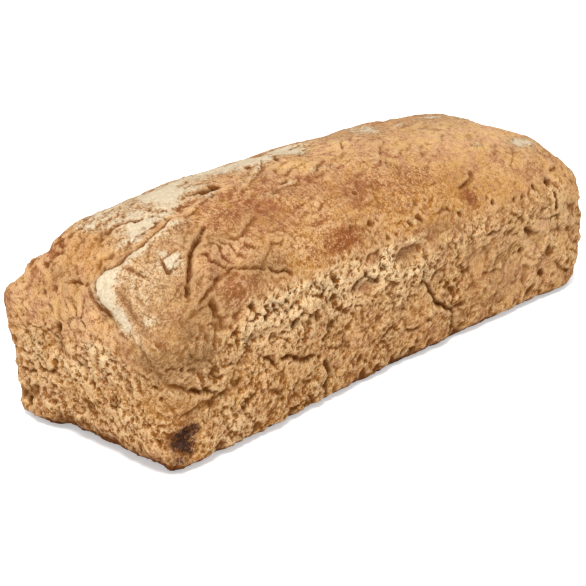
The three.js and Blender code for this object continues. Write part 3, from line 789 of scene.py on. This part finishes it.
# ------------------------ relief all over the loaf
# the ways in which the forms of the crumb, its layers and the dome are drawn out
CRUMB_GRAIN, LAYER_GRAIN, DOME_GRAIN = (0.78, -0.15, -0.6), (0.8, -0.1, -0.6), (0.95, 0.25, 0.0)
NEAR_END, NEAR_END_FADE = -80.0, 24.0  # the dome grows rougher from this x towards the near end


def gate(size, seed, level, width=0.4):
    """0 to 1: where rough noise of that size stands above a level."""
    return ease((rough(points, size, seed) - level) / width)


def drawn_out(p, direction, share):
    """The points with their spread along a direction shrunk, so that noise laid over them comes out long."""
    unit = np.array(direction) / np.linalg.norm(direction)
    return p + (share - 1) * (p @ unit)[:, None] * unit


def add_ledges(p, size, seed, steps, amount):
    """Skins lying over each other: each rises gently to a painted-highlight edge, then drops to a foot of
    painted shade.
    """
    t = steps * noise(bend(p, 0.8 * size, 0.16 * size, seed), size, seed + 5) + 0.37
    f = t - np.floor(t)
    relief[:] += amount * (np.where(f < 0.86, f / 0.86, (1 - f) / 0.14) - 0.5)
    strength = np.clip(amount / 1.1, 0, 1)
    # painted shade at the foot of each drop, painted highlight at each edge
    darken(0.6 * strength * bell(np.minimum(f, 1 - f) / 0.06))
    rub_and_highlight[:] = np.maximum(rub_and_highlight, 0.8 * strength * bell((f - 0.8) / 0.08))


def add_swellings(p, size, seed, rise, width=1.0, depth=0.0, shade=0.0):
    """Swellings of that size, parted by thin winding creases of that width, with shade painted into the
    creases.
    """
    n = noise(p, size, seed)
    crease = bell(n / width)
    relief[:] += rise * (np.sqrt(np.abs(n)) - 0.45) - depth * crease
    darken(shade * crease)


def add_crumb():
    """Torn crumb: lobes parted by creases, then lace round open cells, then flakes."""
    slanting = drawn_out(points, CRUMB_GRAIN, 0.6)
    creased = torn * gate(16.0, 55, 0.1)
    lobes = bend(slanting, 12.0, 3.0, 51)
    # painted shade in the creases between the lobes
    add_swellings(lobes, 10.0, 53, 1.5 * torn, 0.045, 0.8 * creased, 0.5 * creased)
    layered = torn * 1.1 * gate(20.0, 48, -0.25, 0.5)
    add_ledges(drawn_out(points, LAYER_GRAIN, 0.65), 15.0, 46, 1.5, layered)
    add_swellings(bend(slanting, 5.0, 1.5, 57), 4.8, 59, 0.8 * torn)

    lace_points = bend(slanting, 4.5, 1.5, 61)
    thread = np.zeros(len(points))
    for size, width, seed in ((5.4, 0.11, 63), (3.3, 0.16, 65)):
        thread = np.maximum(thread, bell(noise(lace_points, size, seed) / width))
    first, second, name = cells(lace_points, 4.1, 69)
    thread = np.maximum(thread * 0.9, 1 - ease((second - first) / 0.4))
    open_cell = (1 - thread) * np.clip(0.35 + 1.1 * name + 0.5 * noise(points, 9.0, 71), 0.1, 1.6)
    softer = 1 - 0.35 * ease((x - 20) / 80)
    amount = torn * (0.45 + 0.6 * np.clip(cream, 0, 1)) * softer
    relief[:] += amount * (0.5 * thread - 0.9 * open_cell + 0.25)
    flakes = bell(noise(bend(points, 2.6, 0.9, 73), 2.3, 75) / 0.3)
    relief[:] += torn * softer * (0.45 * (flakes - 0.5) + 0.4 * rough(points, 2.2, 77, 2))


def add_hollows():
    """Ragged hollows a few millimetres wide, with pale rims and browner floors."""
    for size, seed, level, depth in ((9.0, 101, 0.38, 1.2), (5.2, 105, 0.4, 0.8)):
        n = rough(bend(points, 0.7 * size, 0.25 * size, seed), size, seed + 1, 2)
        floor = ease((n - level) / 0.3)
        relief[:] += torn * (0.35 * bell((n - level + 0.05) / 0.12) - depth * floor)
        hollow[:] = np.maximum(hollow, floor * torn)


def add_skin():
    """The dome: long soft folds and a grain; layered folds at its near end."""
    dome = (1 - torn) * (1 - 0.75 * np.clip(patch_field(wander, "calm"), 0, 1))
    near_end = ease((NEAR_END - x) / NEAR_END_FADE)
    heading = drawn_out(points, DOME_GRAIN, 0.42)
    add_ledges(heading, 9.0, 81, 1.4, dome * gate(22.0, 85, -0.05) * mix(0.65, 0.75, near_end))
    creased = dome * gate(18.0, 85, 0.05)
    rise = dome * mix(0.45, 0.9, near_end)
    # painted shade in the creases of the dome, more at its near end
    depth, shade = creased * mix(0.4, 0.8, near_end), creased * mix(0.25, 0.6, near_end)
    add_swellings(bend(heading, 9.0, 2.2, 83), 8.5, 84, rise, 0.05, depth, shade)
    add_swellings(bend(heading, 4.0, 1.2, 87), 3.6, 89, dome * mix(0.3, 0.7, near_end))
    broad_waves = rough(bend(points, 24.0, 4.0, 98), 22.0, 99, 2)
    relief[:] += dome * (0.5 * broad_waves + 0.24 * rough(points, 2.0, 91, 2))


def add_burn():
    burnt = np.clip(patch_field(wander, "burnt"), 0, 1)
    relief[:] -= burnt * (0.5 + 1.1 * rough(points, 3.0, 93))


add_crumb()
add_hollows()
add_skin()
add_burn()

# ---- the foot draws in under the walls and has painted shade along it, most of all at the near end
TUCK, NEAR_TUCK = 1.5, 6.0
TUCK_HEIGHT, NEAR_TUCK_HEIGHT = 6.5, 13.0
FOOT_SHADE, NEAR_FOOT_SHADE = 1.5, 1.3
FOOT_SHADE_HEIGHT, NEAR_FOOT_SHADE_HEIGHT = 3.9, 10.6
outward = normals[:, :2] / (np.linalg.norm(normals[:, :2], axis=1, keepdims=True) + 1e-9)
under_near = ease((-outward[:, 0] - 0.5) / 0.4) * ease((26 - y) / 8)
tuck = TUCK + 1.6 * np.clip(noise(points, 9.0, 95), -0.4, 1)
tuck += under_near * (NEAR_TUCK + 2.4 * noise(points, 7.0, 97))
tuck *= np.clip(1 - z / mix(TUCK_HEIGHT, NEAR_TUCK_HEIGHT, under_near), 0, 1) ** 1.6
height = mix(FOOT_SHADE_HEIGHT, NEAR_FOOT_SHADE_HEIGHT, under_near) + 2.0 * noise(points, 6.0, 113)
# painted contact shade along the foot, darkest at the bottom
darken(np.clip(mix(FOOT_SHADE, NEAR_FOOT_SHADE, under_near) - z / height, 0, 1.4))
hollow = np.maximum(hollow, 0.5 * ease((22 - z) / 18) * torn)

lift = normals.copy()
lift[:, 2] *= ease(z / 9.0)
moved = points + lift * relief[:, None]
moved[:, :2] -= outward * np.maximum(tuck, 0)[:, None]
moved[:, 2] = np.maximum(moved[:, 2], 0.0)
moved[foot_ring, 2] = 0.0
moved -= MIDDLE

# ---- what the materials read at each point of the skin
FINE_ROUNDS, BROAD_ROUNDS = 5, 40
detail = np.clip(relief - form, -1.4, 1.6)
even = smoothed(detail, FINE_ROUNDS)
broad = smoothed(even, BROAD_ROUNDS)
fields = {
    "fine": np.clip(0.5 + 0.9 * (detail - even), 0, 1),
    "broad": np.clip(0.5 + 0.45 * (even - broad), 0, 1),
    "torn": torn,
    "painted_shade": np.clip(painted_shade, 0, 1.5),
    "hollow": hollow,
    "cream": np.clip(cream, 0, 1.2),
}
for kind, top in {"flour": 1.4, "rust": 1.2, "gold": 1.2, "light": 1.0, "grey": 1.2, "burnt": 1.3}.items():
    place = bend(wander, 3.2, 1.5, 27) if kind == "flour" else wander
    fields[kind] = np.clip(patch_field(place, kind), 0, top)
busy = np.clip(mix(1.0, 0.55, ease((x + 20) / 110)) + 0.5 * rough(points, 26.0, 111), 0.2, 1.2)
fields["busy"] = busy * (1 - 0.5 * np.clip(fields["grey"], 0, 1))
# the painted highlight and paler rubbed crust on fold edges is laid in as flour
fields["flour"] = np.clip(fields["flour"] + 0.25 * rub_and_highlight, 0, 1.4)


# ------------------------ the Blender mesh
def placed(name, data):
    """A new object in the scene."""
    thing = bpy.data.objects.new(name, data)
    bpy.context.scene.collection.objects.link(thing)
    return thing


mesh = bpy.data.meshes.new("bread_skin")
mesh.from_pydata((moved * MM).tolist(), [], [*faces.tolist(), foot_ring[::-1].tolist()])
mesh.shade_smooth()
mesh.polygons[-1].use_smooth = False  # the underside
for name, values in fields.items():
    mesh.attributes.new(name, "FLOAT", "POINT").data.foreach_set("value", values.astype(np.float32))
bread = placed("bread", mesh)

# ------------------------ materials
LIGHT_LEVEL = 1.65  # how bright white paper would look beside the loaf, in which colours are given
PER_METRE = 1000.0  # millimetres in a metre, the unit of a texture's scale


def shown(red, green, blue):
    """The surface colour that looks like this screen colour (255 is white) under the studio light."""
    out = []
    for c in (red, green, blue):
        c /= 255
        c = c / 12.92 if c <= 0.04045 else ((c + 0.055) / 1.055) ** 2.4
        out.append(min(0.95, c / LIGHT_LEVEL))
    return (*out, 1.0)


class Graph:
    """Short hands for building a node material."""

    def __init__(self, name):
        self.material = bpy.data.materials.new(name)
        self.material.use_nodes = True
        self.tree = self.material.node_tree
        self.shader = self.tree.nodes["Principled BSDF"]
        self.place = self.node("TexCoord").outputs["Object"]

    def feed(self, node, inputs):
        """Sets or links the inputs of a node."""
        for name, source in inputs.items():
            if isinstance(source, (int, float, tuple)):
                node.inputs[name].default_value = source
            else:
                self.tree.links.new(source, node.inputs[name])

    def node(self, kind, inputs=None, **settings):
        made = self.tree.nodes.new("ShaderNode" + kind)
        for name, value in settings.items():
            setattr(made, name, value)
        self.feed(made, inputs or {})
        return made

    def math(self, operation, a, b=0.0, clamp=False):
        return self.node("Math", {0: a, 1: b}, operation=operation, use_clamp=clamp).outputs[0]

    def times(self, a, b, clamp=False):
        return self.math("MULTIPLY", a, b, clamp)

    def total(self, *terms):
        """Weighted sum of (weight, value) pairs."""
        result = 0.0
        for weight, value in terms:
            result = self.math("ADD", result, self.times(weight, value))
        return result

    def field(self, name):
        return self.node("Attribute", attribute_name=name).outputs["Fac"]

    def ramp(self, value, low, high, to_low=0.0, to_high=1.0):
        """A smooth step from to_low at low to to_high at high."""
        inputs = {"Value": value, "From Min": low, "From Max": high, "To Min": to_low, "To Max": to_high}
        return self.node("MapRange", inputs, interpolation_type="SMOOTHSTEP").outputs["Result"]

    def blend(self, share, a, b):
        return self.node("Mix", {"Factor": share, "A": a, "B": b}, data_type="RGBA").outputs["Result"]

    def layered(self, base, *layers):
        """A colour with others laid over it by their shares; each is a screen colour or a socket."""
        for share, colour in layers:
            base = self.blend(share, base, shown(*colour) if isinstance(colour, tuple) else colour)
        return base

    def noise(self, size_mm, detail=3.0, roughness=0.55, swirl=0.0):
        """Cloudy noise around 0.5."""
        inputs = {"Scale": PER_METRE / size_mm, "Detail": detail, "Roughness": roughness, "Distortion": swirl}
        return self.node("TexNoise", {**inputs, "Vector": self.place}).outputs["Fac"]

    def ridges(self, size_mm, width):
        """1 on thin winding lines."""
        away = self.math("ABSOLUTE", self.math("SUBTRACT", self.noise(size_mm, 2.0, 0.6, 0.8), 0.5))
        return self.ramp(away, 0.0, width, 1.0, 0.0)

    def bubbles(self, size_mm, bend_mm):
        """Scattered bubbles: 1 on their rims, and how open (0 to 1) each bubble is, most in its middle."""
        scale = PER_METRE / size_mm
        cloud = self.node("TexNoise", {"Scale": scale, "Vector": self.place}).outputs["Color"]
        shift = {0: cloud, 1: (2 * bend_mm / PER_METRE,) * 3, 2: self.place}
        bent = self.node("VectorMath", shift, operation="MULTIPLY_ADD").outputs["Vector"]
        walls, seeds = (
            self.node("TexVoronoi", {"Scale": scale, "Vector": bent}, feature=feature)
            for feature in ("DISTANCE_TO_EDGE", "F1")
        )
        rim = self.ramp(walls.outputs["Distance"], 0.02, 0.2, 1.0, 0.0)
        open_one = self.ramp(seeds.outputs["Color"], 0.42, 0.75)
        middle = self.ramp(seeds.outputs["Distance"], 0.25, 0.62, 1.0, 0.0)
        return rim, self.times(open_one, middle)


def crust_material():
    """The loaf's material.  Fields of the mesh say where each kind of surface is."""
    g = Graph("crust")
    field, ramp, times, total = g.field, g.ramp, g.times, g.total
    slow = g.noise(16.0, 3.0, 0.6)
    tint = g.noise(8.0, 3.0, 0.6, 0.4)
    patchy = g.noise(5.0, 3.0, 0.65, 0.6)
    grain = g.noise(1.6, 3.0, 0.7)
    dust = g.noise(0.8, 2.0, 0.6)
    flecks = ramp(g.noise(1.3, 2.5, 0.65, 1.0), 0.36, 0.64)
    wrinkles = g.ridges(2.4, 0.055)
    rims, holes = g.bubbles(3.1, 1.6)
    small_rims, pores = g.bubbles(1.5, 0.7)
    threads = total((0.16, rims), (0.2, small_rims), (-0.22, holes), (-0.25, pores), (0.34, flecks))
    fine, broad, busy = field("fine"), field("broad"), field("busy")
    # raised ground made lighter: partly painted highlight, partly paler rubbed crust
    hills = ramp(broad, 0.5, 0.85, 0.0, 0.6)
    film = ramp(field("flour"), 0.02, 0.6, 0.0, 0.75)

    def baked_skin():
        """Smooth, with a pale sandy grain."""
        lighter = g.blend(ramp(tint, 0.4, 0.6), shown(256, 200, 151), shown(264, 214, 146))
        # the sandy specks follow the fine relief in part: painted highlight on its rises, painted shade in
        # its dips
        sandy = total((0.4, grain), (0.4, dust), (0.6, fine), (-0.14, wrinkles), (-0.1, field("rust")))
        return g.layered(
            shown(208, 147, 99),
            (ramp(slow, 0.4, 0.6), (232, 178, 123)),
            (ramp(tint, 0.51, 0.59, 0.0, 0.85), (218, 160, 92)),
            (ramp(tint, 0.49, 0.4, 0.0, 0.85), (178, 113, 76)),
            (hills, (234, 188, 138)),
            (times(field("gold"), ramp(patchy, 0.8, 0.4)), (206, 144, 68)),
            (times(field("rust"), ramp(patchy, 0.1, 0.5)), (168, 98, 56)),
            (times(field("light"), 0.85), lighter),
            (ramp(patchy, 0.52, 0.66, 0.0, 0.6), (168, 108, 66)),
            (times(field("grey"), 0.95), (148, 104, 58)),
            (film, (216, 178, 132)),
            (times(busy, ramp(sandy, 0.61, 0.77, 0.0, 0.6)), (250, 202, 148)),
            (times(busy, ramp(sandy, 0.63, 0.45, 0.0, 0.75)), (146, 84, 36)),
        )

    def torn_crumb():
        """Pale on its threads and flakes, brown between them; painted light on rises, painted shade in low
        spots.
        """
        level = total((0.72, fine), (0.55, grain), (1.0, threads), (-0.22, field("hollow")), (0.5, tint))
        netted = total((1.0, level), (0.4, rims), (0.2, small_rims), (-0.2, holes))
        # brown between the threads, partly painted shade in the low spots and holes
        brown_and_shade = times(ramp(level, 1.14, 0.7, 0.0, 0.95), ramp(busy, 0.3, 0.9, 0.6, 1.0))
        return g.layered(
            shown(224, 158, 90),
            (ramp(slow, 0.4, 0.6), (240, 179, 110)),
            (ramp(tint, 0.5, 0.62, 0.0, 0.6), (222, 158, 80)),
            (ramp(tint, 0.5, 0.36, 0.0, 0.7), (190, 122, 70)),
            (times(field("rust"), 0.6), (184, 112, 58)),
            (times(field("gold"), 0.75), (210, 144, 60)),
            (times(field("light"), 0.7), (240, 190, 132)),
            (times(field("grey"), 0.6), (176, 130, 86)),
            (hills, (242, 192, 132)),
            (times(brown_and_shade, ramp(field("cream"), 0.1, 1.0, 1.0, 0.75)), (148, 86, 25)),
            (ramp(level, 1.16, 1.48, 0.0, 0.9), (272, 224, 166)),
            (times(ramp(netted, 1.04, 1.42), field("cream"), True), (292, 250, 192)),
            # warm painted shade in the dips of the fine relief
            (ramp(fine, 0.42, 0.14, 0.0, 0.75), (184, 112, 38)),
        )

    def stained(surface):
        """Painted shade in valleys, cracks and at the foot; the burnt spot and loose flour; over skin and
        crumb.
        """
        burnt, painted_shade = field("burnt"), field("painted_shade")
        ragged = total((0.42, burnt), (1.3, grain), (0.5, dust), (0.8, patchy), (0.3, fine))
        halo = times(ramp(burnt, 0.1, 0.5), ramp(ragged, 1.4, 1.7, 0.0, 0.7))
        deep = total((1.0, painted_shade), (0.5, grain))
        specks = ramp(total((0.6, grain), (0.4, dust)), 0.51, 0.4, 0.0, 0.9)
        flour = total((1.0, field("flour")), (0.6, fine), (0.6, broad), (-0.9, painted_shade))
        dusty = total((1.0, flour), (0.8, grain), (0.3, dust), (0.9, patchy))
        return g.layered(
            surface,
            # painted shade in the valleys of the relief
            (ramp(broad, 0.52, 0.15, 0.0, 0.65), (148, 90, 38)),
            (halo, (136, 84, 54)),
            (times(halo, ramp(ragged, 1.67, 1.94, 0.0, 1.5), True), (84, 55, 42)),
            # painted shade in cracks, pits, creases and along the foot; the second, near black, only in the
            # deepest
            (ramp(deep, 0.4, 1.2, 0.0, 0.95), (122, 66, 16)),
            (ramp(deep, 1.25, 1.6, 0.0, 0.95), (60, 32, 14)),
            (times(film, specks), (146, 98, 54)),
            (ramp(dusty, 2.0, 2.7, 0.0, 0.9), (248, 228, 194)),
        )

    # the bump is grain finer than the mesh
    height = total((times(threads, 1.9), field("torn")), (1.0, grain), (0.35, dust), (-0.3, wrinkles))
    bump = g.node("Bump", {"Strength": 0.8, "Distance": MM, "Height": height})
    g.feed(g.shader, {
        "Base Color": stained(g.blend(field("torn"), baked_skin(), torn_crumb())),
        "Roughness": ramp(grain, 0.2, 0.8, 0.72, 0.92),
        "Specular IOR Level": 0.05,
        "Normal": bump.outputs["Normal"],
    })
    return g.material


bread.data.materials.append(crust_material())
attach(bread, "root")
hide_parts("loaf")

# ------------------------ floor, light and camera
FLOOR_HALF = 4.0
FLOOR_DROP = 0.0002  # keeps the floor just clear of the loaf's underside
FLOOR_GLOW = 0.42
WORLD_LIGHT = 0.72
KEY_DIRECTION = np.array([-0.4, -0.28, 0.87])
KEY_DISTANCE = 1.9
KEY_SIZE = 0.7
KEY_POWER = 44.0
AIM = np.array([-29.1, -14.45, 40.0]) * MM
AZIMUTH = math.radians(-47.08)
ELEVATION = math.radians(23.74)
DISTANCE = 0.9983
FIELD_OF_VIEW = math.radians(15.0)
WHITE = (1.0, 1.0, 1.0, 1.0)


def look(thing, direction):
    """Turns a light or camera so that it looks along a direction."""
    thing.rotation_euler = Vector(direction).to_track_quat("-Z", "Y").to_euler()


floor_mesh = bpy.data.meshes.new("floor")
corners = [(x * FLOOR_HALF, y * FLOOR_HALF, -FLOOR_DROP) for x, y in ((-1, -1), (1, -1), (1, 1), (-1, 1))]
floor_mesh.from_pydata(corners, [], [(0, 1, 2, 3)])
floor = placed("floor", floor_mesh)
paint = Graph("floor")
paint.feed(paint.shader, {
    "Base Color": (0.82, 0.82, 0.82, 1.0),
    "Roughness": 0.9,
    "Specular IOR Level": 0.0,
    "Emission Color": WHITE,
    "Emission Strength": FLOOR_GLOW,
})
floor.data.materials.append(paint.material)

world = bpy.data.worlds.new("studio")
world.use_nodes = True
world.node_tree.nodes["Background"].inputs["Color"].default_value = WHITE
world.node_tree.nodes["Background"].inputs["Strength"].default_value = WORLD_LIGHT
bpy.context.scene.world = world

key_data = bpy.data.lights.new("key", "AREA")
key_data.shape = "DISK"
key_data.size = KEY_SIZE
key_data.energy = KEY_POWER
key = placed("key", key_data)
key.location = KEY_DIRECTION / np.linalg.norm(KEY_DIRECTION) * KEY_DISTANCE
look(key, -KEY_DIRECTION)

backward = np.array([
    math.sin(AZIMUTH) * math.cos(ELEVATION),
    -math.cos(AZIMUTH) * math.cos(ELEVATION),
    math.sin(ELEVATION),
])
camera_data = bpy.data.cameras.new("camera")
camera_data.sensor_width = 36.0
camera_data.lens = camera_data.sensor_width / 2 / math.tan(FIELD_OF_VIEW / 2)
camera_data.clip_start = 0.05
camera_data.clip_end = 20.0
camera = placed("camera", camera_data)
camera.location = AIM + backward * DISTANCE
look(camera, -backward)
bpy.context.scene.camera = camera
bpy.context.scene.view_settings.view_transform = "Standard"
